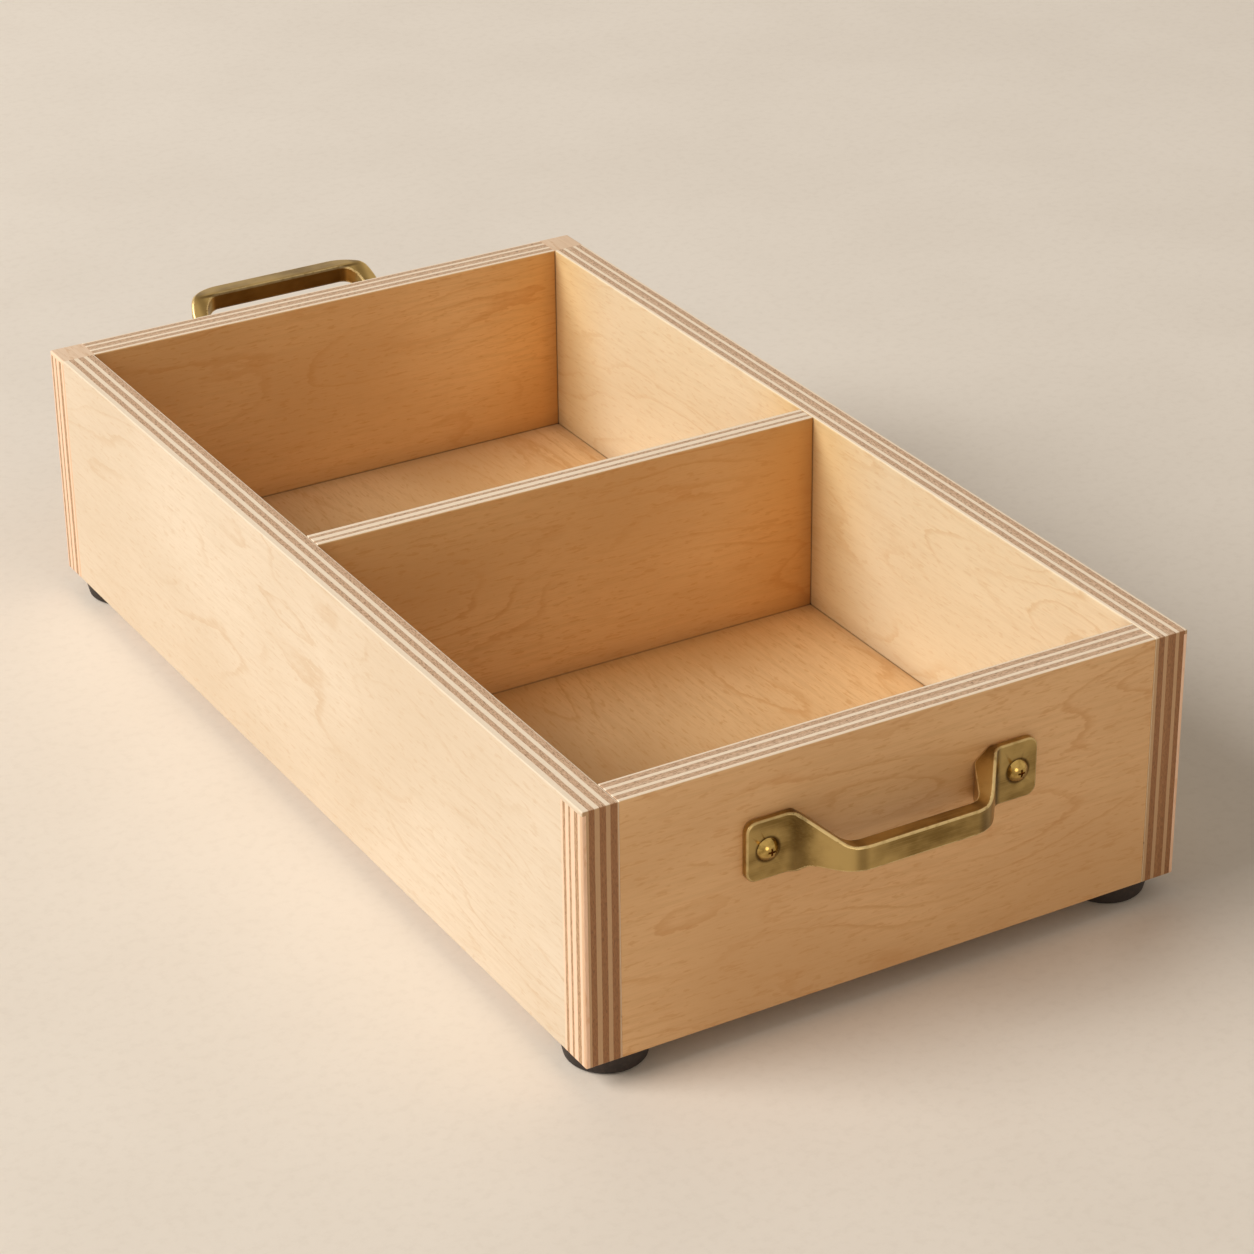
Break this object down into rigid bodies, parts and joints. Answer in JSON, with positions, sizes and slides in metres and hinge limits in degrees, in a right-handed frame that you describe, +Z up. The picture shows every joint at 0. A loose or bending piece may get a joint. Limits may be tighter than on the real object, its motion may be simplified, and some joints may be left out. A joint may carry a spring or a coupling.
{
  "type": "craft caddy",
  "caption": "Open plywood tray split into compartments by a cross divider, with a brass pull at each end and low rubber feet, for carrying craft supplies.",
  "frame": {"origin": "middle of the footprint, on the surface that the feet stand on", "axes": "+Z up, +Y along the caddy from the front end to the back end, +X to the right seen from the front"},
  "size_m": [0.308, 0.62, 0.136],
  "materials": {
    "birch_ply": "light birch plywood, clear satin finish, plies showing on the edges",
    "birch_veneer": "light birch face veneer, clear satin finish",
    "beech_dowel": "plain turned hardwood, unfinished",
    "antique_brass": "antique brass, brushed and darkened, with brighter worn edges",
    "zinc_steel": "zinc-plated steel",
    "black_rubber": "matte brown-black rubber"
  },
  "bodies": {
    "root": {"back_panel": "birch_ply", "back_pull": "antique_brass", "back_pull_screw_left": "antique_brass", "back_pull_screw_right": "antique_brass", "bottom_panel": "birch_veneer", "corner_cap_left": "birch_veneer", "corner_cap_right": "birch_veneer", "corner_dowels_back_left": "beech_dowel", "corner_dowels_back_right": "beech_dowel", "corner_dowels_front_left": "beech_dowel", "corner_dowels_front_right": "beech_dowel", "corner_strip_back_left": "birch_ply", "corner_strip_back_right": "birch_ply", "corner_strip_front_left": "birch_ply", "corner_strip_front_right": "birch_ply", "divider_dowels_left": "beech_dowel", "divider_dowels_right": "beech_dowel", "divider_panel": "birch_ply", "foot_back_left": "black_rubber", "foot_back_right": "black_rubber", "foot_block_back_left": "birch_ply", "foot_block_back_right": "birch_ply", "foot_block_front_left": "birch_ply", "foot_block_front_right": "birch_ply", "foot_front_left": "black_rubber", "foot_front_right": "black_rubber", "foot_screw_back_left": "zinc_steel", "foot_screw_back_right": "zinc_steel", "foot_screw_front_left": "zinc_steel", "foot_screw_front_right": "zinc_steel", "front_panel": "birch_ply", "front_pull": "antique_brass", "front_pull_screw_left": "antique_brass", "front_pull_screw_right": "antique_brass", "side_panel_left": "birch_ply", "side_panel_right": "birch_ply"}
  },
  "joints": []
}
